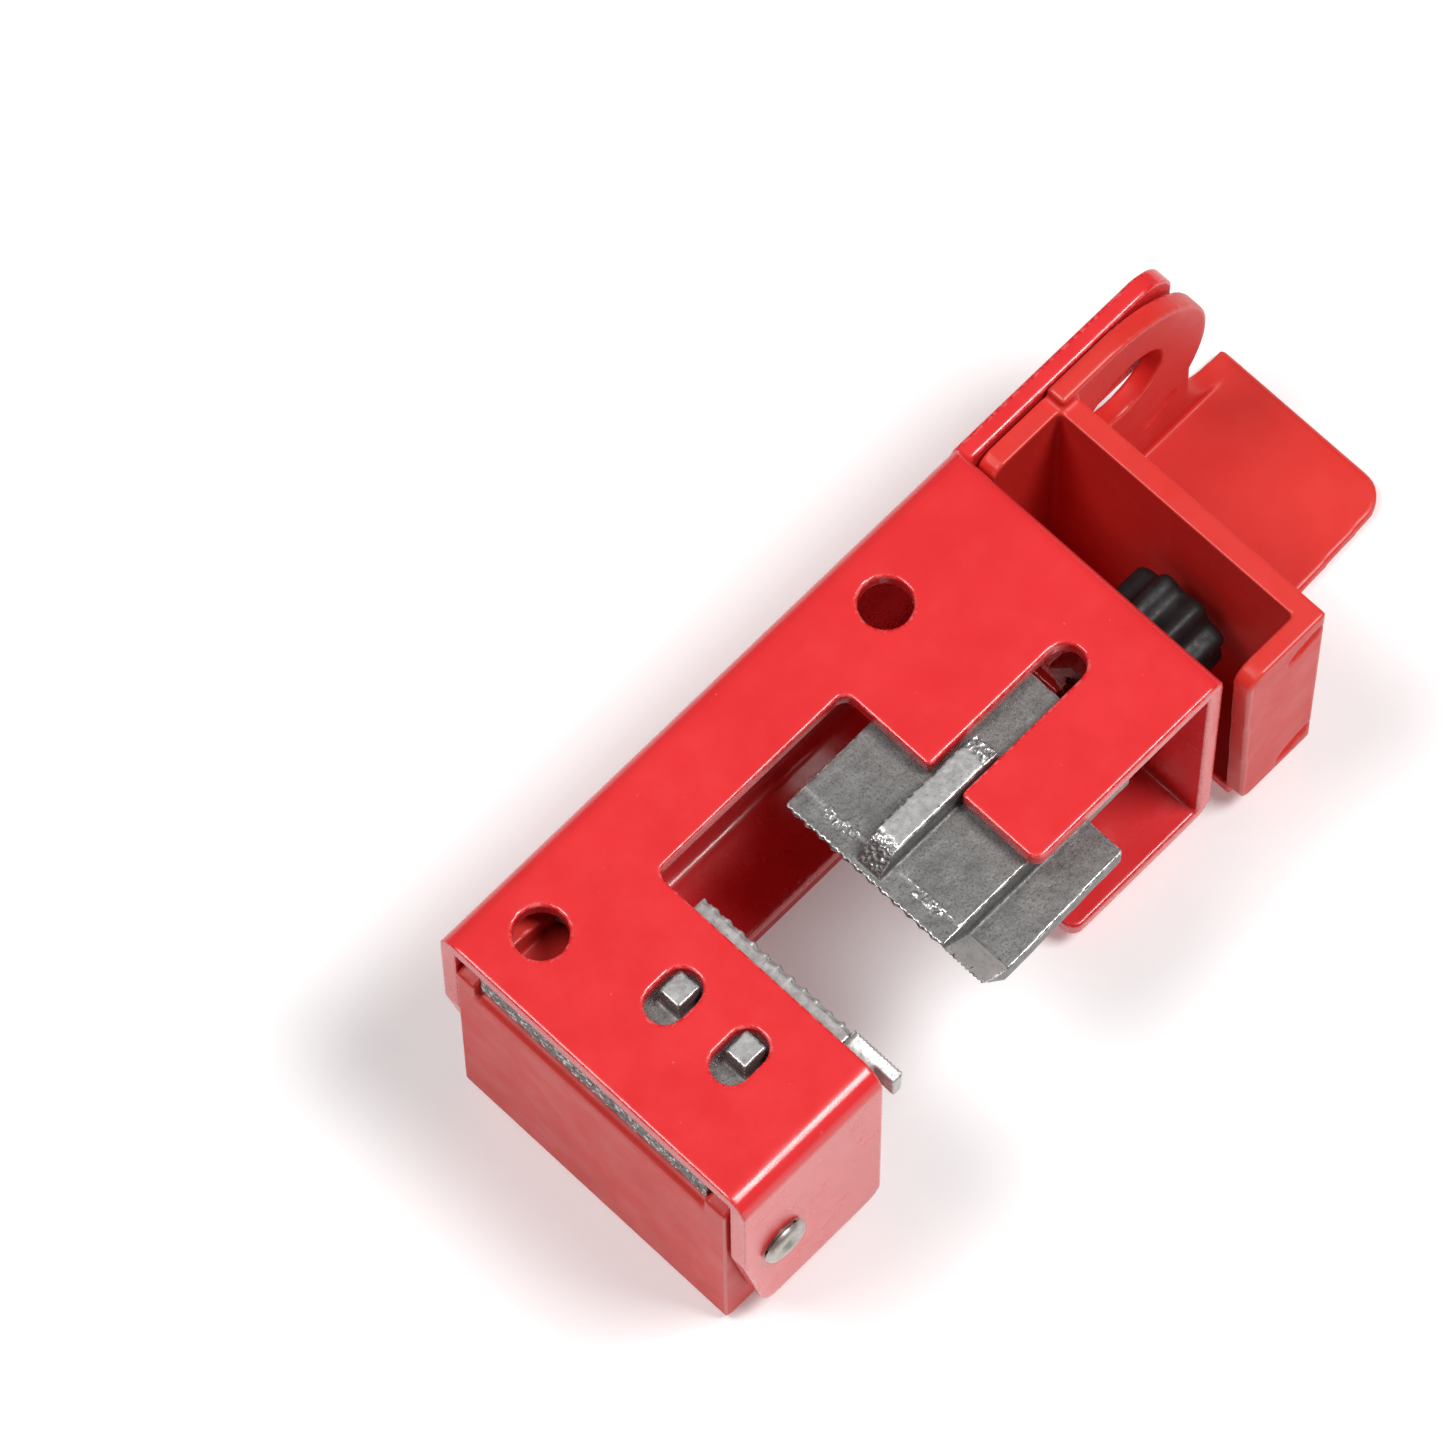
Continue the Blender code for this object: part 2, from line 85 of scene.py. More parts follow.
def settle(name, mesh, sharp):
    for face in mesh.polygons:
        face.use_smooth = True
    if sharp:
        mesh.set_sharp_from_angle(angle=math.radians(sharp))
    obj = bpy.data.objects.new(name, mesh)
    bpy.context.scene.collection.objects.link(obj)
    return obj


def tube(name, rings, sharp=None):
    """A closed skin over rings of points, its ends closed by fans."""
    points, faces = [], []
    count = len(rings[0])
    for ring in rings:
        points.extend(ring)
    for i in range(len(rings) - 1):
        for j in range(count):
            k = (j + 1) % count
            faces.append((i * count + j, i * count + k, (i + 1) * count + k, (i + 1) * count + j))
    for start, flip in ((0, True), ((len(rings) - 1) * count, False)):
        centre = np.mean(np.array(points[start : start + count]), axis=0)
        points.append(tuple(centre))
        hub = len(points) - 1
        for j in range(count):
            k = (j + 1) % count
            face = (start + j, start + k, hub)
            faces.append(face[::-1] if flip else face)
    obj = build(name, points, faces, sharp)
    bm = bmesh.new()
    bm.from_mesh(obj.data)
    bmesh.ops.recalc_face_normals(bm, faces=bm.faces)
    bm.to_mesh(obj.data)
    bm.free()
    return obj


def evaluated(obj):
    """The object's mesh with its modifiers applied, in a new object under the same name."""
    bpy.context.view_layer.update()
    mesh = bpy.data.meshes.new_from_object(obj.evaluated_get(bpy.context.evaluated_depsgraph_get()))
    name = obj.name
    bpy.data.objects.remove(obj)
    out = bpy.data.objects.new(name, mesh)
    bpy.context.scene.collection.objects.link(out)
    return out


def cad_copy(node, name):
    """A clean copy of a CAD node's mesh: welded, its flat faces joined."""
    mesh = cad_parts[node].data.copy()
    mesh.materials.clear()
    for layer in ("custom_normal", "sharp_edge", "sharp_face"):
        if layer in mesh.attributes:
            mesh.attributes.remove(mesh.attributes[layer])
    bm = bmesh.new()
    bm.from_mesh(mesh)
    bmesh.ops.remove_doubles(bm, verts=bm.verts, dist=2e-6)
    bmesh.ops.dissolve_limit(bm, angle_limit=math.radians(0.6), verts=bm.verts, edges=bm.edges)
    bm.to_mesh(mesh)
    bm.free()
    mesh.name = name
    for face in mesh.polygons:
        face.use_smooth = True
    obj = bpy.data.objects.new(name, mesh)
    bpy.context.scene.collection.objects.link(obj)
    return obj


def soften(obj, width, steps, *materials):
    """Rounds every real edge by width millimetres; the rounded faces take the last material."""
    skin = BVHTree.FromObject(obj, bpy.context.evaluated_depsgraph_get())
    for material in materials:
        obj.data.materials.append(material)
    bevel = obj.modifiers.new("soft_edges", "BEVEL")
    bevel.width = width * MM
    bevel.segments = steps
    bevel.limit_method = "ANGLE"
    bevel.angle_limit = math.radians(35)
    bevel.use_clamp_overlap = False
    bevel.material = len(materials) - 1
    obj = evaluated(obj)
    for vertex in obj.data.vertices:
        # a corner too tight for the width can throw a point off: it goes back to the skin
        near, normal, _, gap = skin.find_nearest(vertex.co)
        if gap > 0.6 * width * MM or (vertex.co - near).dot(normal) > 0.01 * MM:
            vertex.co = near
    flat = obj.modifiers.new("flat_faces", "WEIGHTED_NORMAL")
    flat.mode = "FACE_AREA"
    flat.weight = 90
    return obj


def melt(obj, voxel, rounds):
    """The same solid as a dense even mesh with slightly melted edges."""
    mesher = obj.modifiers.new("dense", "REMESH")
    mesher.mode = "VOXEL"
    mesher.voxel_size = voxel * MM
    mesher.use_smooth_shade = True
    smoother = obj.modifiers.new("melt", "SMOOTH")
    smoother.factor = 0.5
    smoother.iterations = rounds
    return evaluated(obj)


def mark(obj, slot, faces_at):
    """Puts faces whose corners average over 0.5 in faces_at, one number a vertex, into a slot."""
    mesh = obj.data
    starts = np.zeros(len(mesh.polygons), np.int32)
    totals = np.zeros(len(mesh.polygons), np.int32)
    corners = np.zeros(len(mesh.loops), np.int32)
    slots = np.zeros(len(mesh.polygons), np.int32)
    mesh.polygons.foreach_get("loop_start", starts)
    mesh.polygons.foreach_get("loop_total", totals)
    mesh.polygons.foreach_get("material_index", slots)
    mesh.loops.foreach_get("vertex_index", corners)
    share = np.add.reduceat(np.asarray(faces_at, float)[corners], starts) / totals
    mesh.polygons.foreach_set("material_index", np.where(share > 0.5, slot, slots))


def rims(obj):
    """How sharply the skin bends outwards at each vertex, in radians a millimetre."""
    points, normals = read(obj)
    edges = np.zeros(len(obj.data.edges) * 2, np.int32)
    obj.data.edges.foreach_get("vertices", edges)
    a, b = edges.reshape(-1, 2).T
    apart = points[a] - points[b]
    bend = ((normals[a] - normals[b]) * apart).sum(1) / np.maximum((apart**2).sum(1), 1e-9)
    worst = np.zeros(len(points))
    np.maximum.at(worst, a, bend)
    np.maximum.at(worst, b, bend)
    return worst


def thin_out(obj, node, ratio):
    """Fewer triangles, fewest on the flats, and no point outside the box of its CAD node."""
    thinner = obj.modifiers.new("thin_out", "DECIMATE")
    thinner.ratio = ratio
    obj = evaluated(obj)
    box = np.array([v.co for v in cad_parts[node].data.vertices]) / MM + np.array(ORIGIN)
    write(obj, np.clip(read(obj)[0], box.min(0), box.max(0)))
    for face in obj.data.polygons:
        face.use_smooth = True
    return obj


def smooth_step(low, high, values):
    t = np.clip((values - low) / (high - low), 0, 1)
    return t * t * (3 - 2 * t)


def noise_at(points, size, seed=0.0, octaves=1):
    """Signed noise with lumps about size millimetres across."""
    out = np.zeros(len(points))
    weight, total = 1.0, 0.0
    for octave in range(octaves):
        grain = 2.0**octave / size
        shift = Vector((seed, seed * 0.7 + 3.1, octave * 5.3))
        out += weight * np.array([noise.noise(Vector(p) * grain + shift) for p in points])
        total += weight
        weight *= 0.5
    return out / total


def read(obj):
    mesh = obj.data
    co = np.zeros(len(mesh.vertices) * 3)
    mesh.vertices.foreach_get("co", co)
    normal = np.zeros(len(mesh.vertices) * 3)
    mesh.vertices.foreach_get("normal", normal)
    return co.reshape(-1, 3) / MM + np.array(ORIGIN), normal.reshape(-1, 3)


def write(obj, points):
    obj.data.vertices.foreach_set("co", ((points - np.array(ORIGIN)) * MM).ravel())
    obj.data.update()


# ---------------------------------------------------------------- materials


class Look:
    """A node material around one Principled shader."""

    def __init__(self, name, roughness, metallic=0.0, coat=0.0, coat_roughness=0.1, specular=0.5):
        self.material = bpy.data.materials.new(name)
        self.material.use_nodes = True
        self.tree = self.material.node_tree
        self.shader = self.tree.nodes["Principled BSDF"]
        self.set("Roughness", roughness)
        self.set("Metallic", metallic)
        self.set("Coat Weight", coat)
        self.set("Coat Roughness", coat_roughness)
        self.set("Specular IOR Level", specular)
        self.place = self.node("ShaderNodeTexCoord").outputs["Object"]
        self.height = None

    def set(self, name, value):
        self.shader.inputs[name].default_value = value

    def node(self, kind, **settings):
        made = self.tree.nodes.new(kind)
        for name, value in settings.items():
            setattr(made, name, value)
        return made

    def link(self, a, b):
        self.tree.links.new(a, b)

    def grain(self, size, detail=2.0, roughness=0.5, stretch=None, distortion=0.0):
        """Noise from 0 to 1 with lumps about size millimetres across."""
        source = self.place
        if stretch:
            mapping = self.node("ShaderNodeMapping")
            mapping.inputs["Scale"].default_value = stretch
            self.link(source, mapping.inputs["Vector"])
            source = mapping.outputs["Vector"]
        texture = self.node("ShaderNodeTexNoise")
        texture.inputs["Scale"].default_value = 1.0 / (size * MM)
        texture.inputs["Detail"].default_value = detail
        texture.inputs["Roughness"].default_value = roughness
        texture.inputs["Distortion"].default_value = distortion
        self.link(source, texture.inputs["Vector"])
        return texture.outputs["Fac"]

    def between(self, fac, low, high, first, last):
        """fac from low..high turned into first..last, held at both ends."""
        step = self.node("ShaderNodeMapRange")
        ends = {"From Min": low, "From Max": high, "To Min": first, "To Max": last}
        for name, value in ends.items():
            step.inputs[name].default_value = value
        self.link(fac, step.inputs["Value"])
        return step.outputs["Result"]

    def ramp(self, fac, *stops):
        """A colour from fac, with stops of (position, colour)."""
        ramp = self.node("ShaderNodeValToRGB")
        points = ramp.color_ramp.elements
        while len(points) < len(stops):
            points.new(0.5)
        for point, (position, colour) in zip(points, stops):
            point.position = position
            point.color = (*colour, 1.0)
        self.link(fac, ramp.inputs["Fac"])
        return ramp.outputs["Color"]

    def mix(self, fac, a, b):
        """Colour a where fac is 0 and colour b where it is 1; either may be a plain colour."""
        mixer = self.node("ShaderNodeMix", data_type="RGBA")
        self.link(fac, mixer.inputs[0])
        for value, socket in ((a, mixer.inputs[6]), (b, mixer.inputs[7])):
            if isinstance(value, tuple):
                socket.default_value = (*value, 1.0)
            else:
                self.link(value, socket)
        return mixer.outputs[2]

    def colour(self, source):
        self.link(source, self.shader.inputs["Base Color"])

    def rough(self, source):
        self.link(source, self.shader.inputs["Roughness"])

    def bump(self, fac, depth, strength=1.0):
        """Adds relief of depth millimetres."""
        bump = self.node("ShaderNodeBump")
        bump.inputs["Distance"].default_value = depth * MM
        bump.inputs["Strength"].default_value = strength
        self.link(fac, bump.inputs["Height"])
        if self.height:
            self.link(self.height, bump.inputs["Normal"])
        self.height = bump.outputs["Normal"]
        self.link(self.height, self.shader.inputs["Normal"])


def powder_coat():
    """Glossy red powder coat with a faint orange-peel skin and a few specks."""
    look = Look("red_powder_coat", 0.26, coat=0.25, coat_roughness=0.12)
    base = look.ramp(
        look.grain(7.0, 3.0), (0.3, (0.78, 0.030, 0.034)), (0.7, (0.84, 0.038, 0.042))
    )
    specks = look.between(look.grain(0.5, 1.0), 0.80, 0.84, 0.0, 0.6)
    look.colour(look.mix(specks, base, (0.86, 0.20, 0.20)))
    look.rough(look.between(look.grain(3.0, 4.0), 0.3, 0.7, 0.20, 0.30))
    look.bump(look.grain(1.1, 2.0), 0.012)
    look.bump(look.grain(0.25, 1.0), 0.0015)
    return look.material


def powder_rim():
    """Rounded edges: paler and shinier in broken lines, partly a thin coat, partly a painted
    highlight.
    """
    look = Look("red_powder_rim", 0.24, coat=0.3, coat_roughness=0.12)
    # paler broken lines on the edges: partly a thinner coat, partly a painted highlight
    paler_patches = look.between(look.grain(0.9, 3.0, 0.7), 0.47, 0.62, 0.0, 1.0)
    look.colour(look.mix(paler_patches, (0.74, 0.022, 0.026), (0.84, 0.12, 0.12)))
    look.rough(look.between(look.grain(0.7, 3.0), 0.35, 0.65, 0.16, 0.34))
    look.bump(look.grain(1.4, 2.0), 0.006)
    return look.material


def moulded_plastic():
    """Orange-red moulded plastic with a satin skin and a fine moulding grain."""
    look = Look("orange_red_plastic", 0.42, specular=0.36)
    look.colour(
        look.ramp(
            look.grain(9.0, 4.0, 0.6), (0.3, (0.68, 0.030, 0.022)), (0.7, (0.75, 0.038, 0.030))
        )
    )
    look.rough(look.between(look.grain(4.0, 4.0), 0.3, 0.7, 0.38, 0.50))
    look.bump(look.grain(1.6, 3.0), 0.010)
    look.bump(look.grain(0.16, 2.0), 0.003)
    return look.material


def plastic_rim():
    """Edges of the moulding, a touch paler in patches."""
    look = Look("orange_red_rim", 0.34, specular=0.5)
    paler_patches = look.between(look.grain(1.2, 3.0, 0.6), 0.4, 0.7, 0.0, 0.6)
    look.colour(look.mix(paler_patches, (0.70, 0.040, 0.030), (0.78, 0.075, 0.058)))
    look.bump(look.grain(0.7, 2.0), 0.012)
    return look.material


def casting():
    """Grey zinc casting: a grainy skin with darker freckles and shallow stains."""
    look = Look("zinc_casting", 0.42, metallic=0.35)
    stain = look.ramp(
        look.grain(2.6, 4.0, 0.65), (0.25, (0.15, 0.145, 0.14)), (0.75, (0.27, 0.265, 0.255))
    )
    freckle = look.between(look.grain(0.26, 3.0, 0.7), 0.50, 0.66, 0.0, 0.85)
    look.colour(look.mix(freckle, stain, (0.085, 0.08, 0.08)))
    look.rough(look.between(look.grain(0.8, 4.0), 0.3, 0.7, 0.34, 0.55))
    look.bump(look.grain(0.5, 4.0, 0.7), 0.05)
    look.bump(look.grain(0.16, 2.0), 0.018)
    return look.material


def lit_casting():
    """The casting painted paler where it faces up, as painted light on lit tops, with fine pits."""
    look = Look("zinc_painted_lit", 0.36, metallic=0.45)
    tone = look.ramp(
        look.grain(1.4, 4.0, 0.6), (0.3, (0.44, 0.43, 0.42)), (0.7, (0.58, 0.57, 0.56))
    )
    pits = look.between(look.grain(0.3, 2.0, 0.6), 0.60, 0.70, 0.0, 0.6)
    look.colour(look.mix(pits, tone, (0.16, 0.155, 0.15)))
    look.rough(look.between(look.grain(0.6, 4.0), 0.3, 0.7, 0.28, 0.46))
    look.bump(look.grain(0.4, 3.0, 0.6), 0.02)
    return look.material


def rubbed_and_glint():
    """Bright broken metal on crumbled patches, and a painted highlight along the edges and tooth
    tips.
    """
    look = Look("zinc_rubbed_and_glint", 0.24, metallic=0.6)
    bright = look.between(look.grain(0.6, 3.0, 0.7), 0.42, 0.6, 0.0, 1.0)
    look.colour(look.mix(bright, (0.20, 0.195, 0.19), (0.78, 0.77, 0.75)))
    look.rough(look.between(look.grain(0.4, 3.0), 0.3, 0.7, 0.16, 0.4))
    look.bump(look.grain(0.3, 2.0), 0.02)
    return look.material


def plated():
    """Bright zinc plating with fine drawn lines."""
    look = Look("zinc_plated_steel", 0.4, metallic=0.7)
    look.colour(
        look.ramp(look.grain(1.5, 4.0, 0.6), (0.3, (0.42, 0.39, 0.35)), (0.7, (0.62, 0.59, 0.54)))
    )
    look.rough(look.between(look.grain(0.5, 4.0), 0.3, 0.7, 0.32, 0.52))
    look.bump(look.grain(0.35, 3.0), 0.01)
    return look.material


def shade_dark_steel():
    """Plated steel painted dark, a painted shade for the screw under the frame."""
    look = Look("zinc_plated_painted_shade", 0.45, metallic=1.0)
    tone = look.grain(1.2, 4.0, 0.6)
    look.colour(look.ramp(tone, (0.3, (0.10, 0.095, 0.09)), (0.7, (0.20, 0.195, 0.185))))
    look.rough(look.between(look.grain(0.5, 4.0), 0.3, 0.7, 0.38, 0.56))
    look.bump(look.grain(0.35, 3.0), 0.01)
    return look.material


def knob_plastic():
    """Near-black satin plastic."""
    look = Look("black_plastic", 0.5, specular=0.32)
    look.colour(
        look.ramp(look.grain(2.0, 3.0), (0.3, (0.010, 0.010, 0.011)), (0.7, (0.020, 0.020, 0.021)))
    )
    look.rough(look.between(look.grain(0.9, 4.0), 0.3, 0.7, 0.38, 0.58))
    look.bump(look.grain(0.3, 3.0), 0.02)
    return look.material


RED, RED_RIM = powder_coat(), powder_rim()
PLASTIC, PLASTIC_RIM = moulded_plastic(), plastic_rim()
CASTING, LIT_CASTING, RUBBED_AND_GLINT = casting(), lit_casting(), rubbed_and_glint()
PLATED, SHADE_DARK_STEEL, BLACK = plated(), shade_dark_steel(), knob_plastic()


def dress(obj, *materials):
    for material in materials:
        obj.data.materials.append(material)


def mount(obj, node, body, slot, *materials):
    """Puts a finished piece in the place of its CAD node."""
    dress(obj, *materials)
    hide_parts(node)
    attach(obj, body)
    return obj


# ---------------------------------------------------------------- sheet frame and handle

def oval(name, x, z, length, height, tilt, y_low, y_high):
    """A slanted oval cutter that runs along y."""
    rings = []
    for y in (y_low, y_high):
        ring = []
        for i in range(32):
            turn = 2 * math.pi * i / 32
            a, b = length / 2 * math.cos(turn), height / 2 * math.sin(turn)
            c, d = math.cos(math.radians(tilt)), math.sin(math.radians(tilt))
            ring.append((x + a * c - b * d, y, z + a * d + b * c))
        rings.append(ring)
    return tube(name, rings)


def dress_handle():
    """The moulding with a round left edge on its guard and three shallow ejector dents."""
    obj = cad_copy("handle", "handle_skin")
    bm = bmesh.new()
    bm.from_mesh(obj.data)
    edge = []
    for e in bm.edges:
        ends = [v.co / MM + ORIGIN for v in e.verts]
        on_face = all(abs(p.y - GUARD_FACE_Y) < 0.02 for p in ends)
        if on_face and all(76 < p.x < 78.6 and -33.2 < p.z < -3.6 for p in ends):
            edge.append(e)
    bmesh.ops.bevel(bm, geom=edge, offset=1.1 * MM, segments=6, profile=0.5, affect="EDGES")
    bm.to_mesh(obj.data)
    bm.free()
    dents = (
        (85.4, -6.0, 5.4, 2.2, 22, -40.5, -39.2),
        (85.4, -32.1, 5.4, 2.2, 25, -40.5, -39.2),
        (102.0, -27.9, 5.6, 2.0, 36, -5.5, -4.5),
    )
    for dent in dents:
        cutter = oval("dent", *dent)
        boolean = obj.modifiers.new("dent", "BOOLEAN")
        boolean.operation = "DIFFERENCE"
        boolean.object = cutter
        obj = evaluated(obj)
        bpy.data.objects.remove(cutter)
    obj = melt(obj, HANDLE_VOXEL, 3)
    dress(obj, PLASTIC, PLASTIC_RIM)
    mark(obj, 1, rims(obj) > HANDLE_BEND)
    return thin_out(obj, "handle", 0.35)


def dress_frame():
    """The bent sheet, every edge in the rim coat: a thinner coat with a painted highlight in broken
    lines.
    """
    obj = melt(cad_copy("frame", "frame_skin"), FRAME_VOXEL, 4)
    dress(obj, RED, RED_RIM)
    # edges take the rim coat, its paler broken lines partly a painted highlight
    mark(obj, 1, rims(obj) > FRAME_BEND)
    return thin_out(obj, "frame", 0.35)


mount(dress_frame(), "frame", "frame", "red_powder_coat")
mount(dress_handle(), "handle", "handle", "orange_red_plastic")


# ---------------------------------------------------------------- jaws


def diamond(u, v):
    """Pyramid teeth from 0 in the grooves to 1 at the tips."""
    a = np.abs(((u + v) % 1.0) - 0.5) * 2
    b = np.abs(((u - v) % 1.0) - 0.5) * 2
    return 1 - np.maximum(a, b)


def ripple(values, pitch):
    """A wave from 0 to 1 with the given pitch."""
    return 0.5 - 0.5 * np.cos(2 * np.pi * values / pitch)


def tooth_skin(points, drop_from, coarse_to):
    """How far each point of a gripping face sits back from its tooth tips, in millimetres."""
    y, z = points[:, 1], points[:, 2]
    down = drop_from - z
    coarse = 0.36 * (1 - diamond(y / COARSE_PITCH, down / (2 * COARSE_PITCH) + 0.25))
    fine = 0.16 * ripple(y, FINE_PITCH)
    return np.where(y > coarse_to, coarse, fine)


def rough_skin(points, normals, seed):
    """Lumps of a cast surface along its normals."""
    lumps = 0.05 * noise_at(points, 1.6, seed) + 0.022 * noise_at(points, 0.5, seed + 9)
    return points + normals * lumps[:, None]


def dress_cam_jaw():
    """Cam jaw: scalloped teeth behind a smooth strip, a finely toothed front end, a rough back."""
    obj = melt(cad_copy("cam_jaw", "cam_jaw_casting"), JAW_VOXEL, 2)
    points, normals = read(obj)
    out = rough_skin(points, normals, 2.0)
    x, y, z = points.T
    front = y < CAM_STEP_Y
    grip = smooth_step(21.5, 22.1, x + 0.62 * np.clip(-3.4 - z, 0, None)) * (z > -8.6) * ~front
    out[:, 0] -= grip * tooth_skin(points, -2.6, CAM_STEP_Y)
    fine = smooth_step(21.6, 22.3, x) * front
    depth = 0.16 + 0.3 * smooth_step(0.2, 1.6, -2.9 - z)
    out[:, 0] -= fine * depth * ripple(y, CAM_FINE_PITCH)
    # round scallops bitten out of the strip's edge, between the teeth
    scallop = np.abs(np.sin(np.pi * y / SCALLOP_PITCH)) ** 2
    out[:, 2] -= ~front * smooth_step(21.5, 22.2, x) * (z > -3.6) * 0.5 * (1 - scallop)
    back = smooth_step(0.55, 0.9, -normals[:, 0]) * (x < 2)
    crumble = noise_at(points, 0.55, 21.0, 2)
    out += normals * (back * (0.5 * crumble - 0.1))[:, None]
    write(obj, out)
    dress(obj, CASTING, LIT_CASTING, RUBBED_AND_GLINT)
    up = normals[:, 2]
    tenon = (z > -2.2) & (up > 0.7)
    strip = (x > 18.9) & (up > 0.6) & (z > -6.5)
    facet = front & (x > 20)
    # tenon tops, the strip and the front facet take the paler casting: painted light where they
    # face up
    mark(obj, 1, tenon | strip | facet)
    # edges along the top and the step take the bright metal as a painted highlight; the rough
    # back's crumbs are real
    edge = rims(obj) > JAW_BEND
    mark(obj, 2, edge & (z > -2.4) | edge & (np.abs(y + 36.5) < 0.35) & (z > -3.4))
    mark(obj, 2, back * (crumble > 0.12))
    return thin_out(obj, "cam_jaw", 0.7)


def dress_screw_jaw():
    """Screw jaw: teeth along its face, a lower strip with crumbled metal, a rough-ended rib."""
    obj = melt(cad_copy("screw_jaw", "screw_jaw_casting"), JAW_VOXEL, 2)
    points, normals = read(obj)
    out = rough_skin(points, normals, 5.0)
    x, y, z = points.T
    face_x = 34.8 + 0.62 * np.clip(-3.6 - z, 0, None)
    grip = 1 - smooth_step(0.2, 1.1, x - face_x)
    grip = grip * (z > -9.4) * (z < -2.6)
    out[:, 0] += grip * tooth_skin(points, -3.0, SCREW_STEP_Y)
    slab = (y > -36.3) & (z > -3.5) & (z < -2.5)
    # a strip along the gripping edge sits lower, with a line of rough metal at the step
    strip = (1 - smooth_step(37.7, 37.85, x)) * slab
    out[:, 2] -= 0.1 * strip
    wander = 0.3 * noise_at(points * np.array((1, 1, 0)), 2.0, 7.0)
    crumble = noise_at(points, 0.42, 11.0, 2)
    patches = np.zeros(len(points))
    for low_y, high_y in ((-22.4, -17.4), (-34.4, -29.8)):
        along = smooth_step(low_y, low_y + 0.7, y) * (1 - smooth_step(high_y - 0.7, high_y, y))
        across = np.exp(-(((x - 37.55 - wander) / 0.55) ** 2))
        patches += slab * along * across
    out[:, 2] += patches * (1.1 * np.abs(crumble) - 0.08)
    # the rib's edges wander and its ends are rough
    rib = (z > -2.4) & (np.abs(y - SCREW_Y) < 1.8)
    side = np.sign(y - SCREW_Y) * np.clip(np.abs(y - SCREW_Y) - RIB_HALF, 0, 1) / 0.65
    edge = noise_at(points * np.array((1, 0, 0)) + np.array((0, 3, 0)), 1.1, 13.0, 2)
    out[:, 1] += rib * side * 0.22 * edge * smooth_step(-2.2, 0.2, z)
    ends = np.maximum(1 - smooth_step(38.2, 39.4, x), smooth_step(50.8, 51.6, x))
    out += normals * (rib * ends * (0.55 * crumble - 0.16))[:, None]
    write(obj, out)
    dress(obj, CASTING, LIT_CASTING, RUBBED_AND_GLINT)
    up = normals[:, 2]
    facet = (y < SCREW_STEP_Y) & (up > 0.6) & (up < 0.93) & (x < 39.3)
    # the rib's top and the front facet take the paler casting: painted light where they face up
    mark(obj, 1, ((z > -0.9) & (up > 0.7) & (ends < 0.9)) | facet)
    # rough rib ends and crumbled patches take the bright metal, and the edges too as a painted
    # highlight
    rubbed_ends = rib * ends * (crumble > -0.1) > 0.5
    rubbed_patches = (patches > 0.35) & (np.abs(crumble) > 0.16)
    mark(obj, 2, (rims(obj) > JAW_BEND) & (z > -7.3) | rubbed_ends | rubbed_patches)
    return thin_out(obj, "screw_jaw", 0.7)


mount(dress_cam_jaw(), "cam_jaw", "cam_jaw", "zinc_casting")
mount(dress_screw_jaw(), "screw_jaw", "screw_jaw", "zinc_casting")


# ---------------------------------------------------------------- screw, nut, washers, knob, rivet


def screw_rings():
    """M6 x 1 thread as rings along x, its depth fading out at both ends."""
    rings, pitch, count = [], 1.0, 40
    for i in range(int((81.7 - 50.0) / 0.1) + 1):
        x = 50.0 + 0.1 * i
        fade = min(1.0, (x - 50.0) / 0.8, (81.7 - x) / 0.5)
        ring = []
        for j in range(count):
            turn = 2 * math.pi * j / count
            phase = (turn / (2 * math.pi) - x / pitch) % 1.0
            tooth = 1 - abs(2 * phase - 1)
            radius = 2.45 + 0.54 * min(1.0, 1.25 * tooth) * max(fade, 0.0)
            ring.append((x, SCREW_Y + radius * math.cos(turn), SCREW_Z + radius * math.sin(turn)))
        rings.append(ring)
    return rings


def knob_rings():
    """Eight round lobes, rounded over at both rims, with a shallow dish in the outer face."""
    steps = [(82.0, 3.0, 0.0), (76.9, 3.0, 0.0), (76.62, 3.3, 0.0), (76.6, 4.3, 0.35)]
    steps += [(76.62, 5.3, 0.8), (76.75, 5.62, 0.95), (77.05, 5.8, 1.0), (77.5, 5.875, 1.0)]
    steps += [(80.0, 5.875, 1.0), (82.3, 5.875, 1.0), (82.8, 5.82, 1.0), (83.2, 5.65, 0.95)]
    steps += [(83.42, 5.35, 0.85), (83.5, 4.9, 0.6), (83.5, 4.3, 0.3), (83.42, 3.9, 0.1)]
    steps += [(83.1, 3.6, 0.0), (83.05, 2.0, 0.0), (83.05, 0.5, 0.0)]
    rings, count = [], 192
    for x, middle, lobed in steps:
        ring = []
        for j in range(count):
            turn = 2 * math.pi * j / count
            wave = math.cos(8 * (turn - math.radians(23.0)))
            wave = wave if wave > 0 else -abs(wave) ** 0.8
            radius = middle + 0.625 * wave * lobed
            ring.append((x, SCREW_Y + radius * math.cos(turn), SCREW_Z + radius * math.sin(turn)))
        rings.append(ring)
    return rings


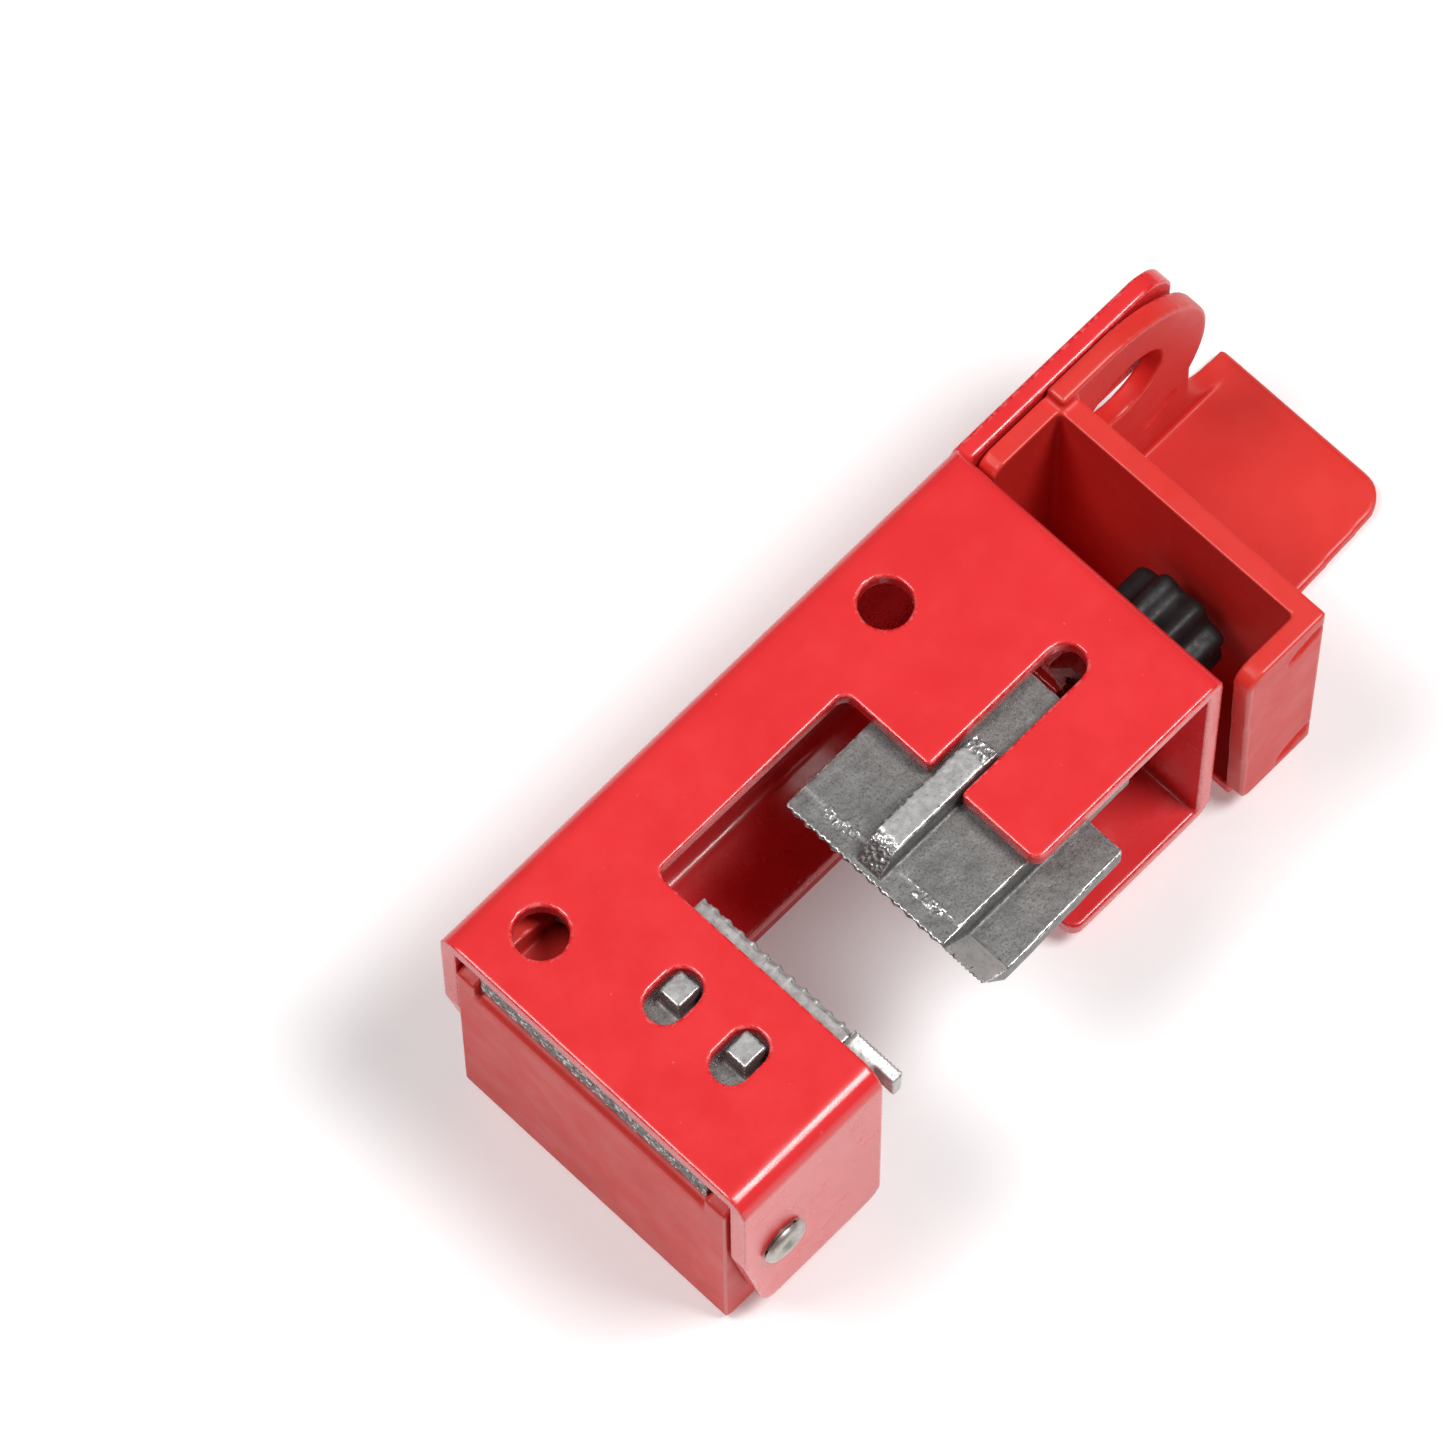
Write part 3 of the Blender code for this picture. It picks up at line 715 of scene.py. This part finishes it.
def rivet_rings():
    """Shank with a rolled, split front head and a low dome at the back."""
    steps = [(-43.0, 0.15, 0.25), (-43.05, 0.7, 0.35), (-43.3, 1.05, 0.3), (-43.7, 1.35, 0.12)]
    steps += [(-43.84, 1.7, 0.0), (-43.84, 2.05, 0.0), (-43.7, 2.45, 0.0), (-43.4, 2.72, 0.0)]
    steps += [(-43.12, 2.8, 0.0), (-43.05, 2.7, 0.0), (-43.05, 2.0, 0.0), (0.3, 2.0, 0.0)]
    steps += [(0.3, 3.25, 0.0), (0.42, 3.4, 0.0), (0.7, 3.3, 0.0), (1.05, 2.8, 0.0)]
    steps += [(1.32, 2.1, 0.0), (1.46, 1.2, 0.0), (1.5, 0.4, 0.0)]
    rings, count = [], 96
    for y, radius, split in steps:
        ring = []
        for j in range(count):
            turn = 2 * math.pi * j / count
            crack = split * abs(math.cos(2.5 * turn + 0.4)) ** 3
            r = radius * (1 + 0.5 * crack)
            x, z = PIVOT_X + r * math.cos(turn), PIVOT_Z + r * math.sin(turn)
            ring.append((x, y - 0.25 * crack, z))
        rings.append(ring)
    return rings


# the thread takes the dark steel: painted shade where it lies under the frame
mount(tube("clamp_screw_thread", screw_rings()), "clamp_screw", "screw", "zinc_plated_steel", SHADE_DARK_STEEL)
mount(tube("knob_lobes", knob_rings(), 50), "thumb_knob", "screw", "black_plastic", BLACK)
mount(tube("rivet_heads", rivet_rings(), 60), "pivot_rivet", "frame", "zinc_plated_steel", PLATED)
for node, width in (("lock_nut", 0.3), ("inner_washer", 0.15), ("outer_washer", 0.15)):
    piece = soften(cad_copy(node, node + "_plated"), width, 3, PLATED)
    mount(piece, node, "screw", "zinc_plated_steel")


# ---------------------------------------------------------------- floor, light, camera


def stage_floor():
    bpy.ops.mesh.primitive_plane_add(size=6.0, location=(0, 0, -0.0002))
    floor = bpy.context.object
    floor.name = "pale_floor"
    look = Look("pale_floor", 0.6, specular=0.2)
    look.colour(look.ramp(look.grain(400.0), (0.3, (0.86, 0.86, 0.86)), (0.7, (0.88, 0.88, 0.88))))
    look.set("Emission Color", (1.0, 1.0, 1.0, 1.0))
    look.set("Emission Strength", 0.2)
    floor.data.materials.append(look.material)


def area_light(name, azimuth, elevation, distance, size, power):
    """A soft square light that faces the object; azimuth is counted from +x towards +y."""
    a, e = math.radians(azimuth), math.radians(elevation)
    direction = Vector((math.cos(a) * math.cos(e), math.sin(a) * math.cos(e), math.sin(e)))
    light = bpy.data.lights.new(name, "AREA")
    light.shape = "SQUARE"
    light.size = size
    light.energy = power
    obj = bpy.data.objects.new(name, light)
    obj.location = direction * distance
    obj.rotation_euler = direction.to_track_quat("Z", "Y").to_euler()
    bpy.context.scene.collection.objects.link(obj)


def stage_light():
    world = bpy.data.worlds.new("studio")
    world.use_nodes = True
    background = world.node_tree.nodes["Background"]
    background.inputs["Color"].default_value = (1.0, 1.0, 1.0, 1.0)
    background.inputs["Strength"].default_value = 0.06
    bpy.context.scene.world = world
    area_light("right_softbox", -55, 65, 1.3, 0.42, 12)
    area_light("left_softbox", 145, 65, 1.3, 0.42, 7.5)


def stage_camera():
    camera = bpy.data.objects.new("camera", bpy.data.cameras.new("camera"))
    camera.location = CAMERA_AT
    camera.rotation_euler = [math.radians(v) for v in (CAMERA_TILT, CAMERA_ROLL, CAMERA_TURN)]
    camera.data.lens = LENS
    camera.data.sensor_width = 36.0
    camera.data.clip_start = 0.01
    bpy.context.scene.collection.objects.link(camera)
    bpy.context.scene.camera = camera


stage_floor()
stage_light()
stage_camera()
bpy.context.scene.view_settings.view_transform = "Standard"
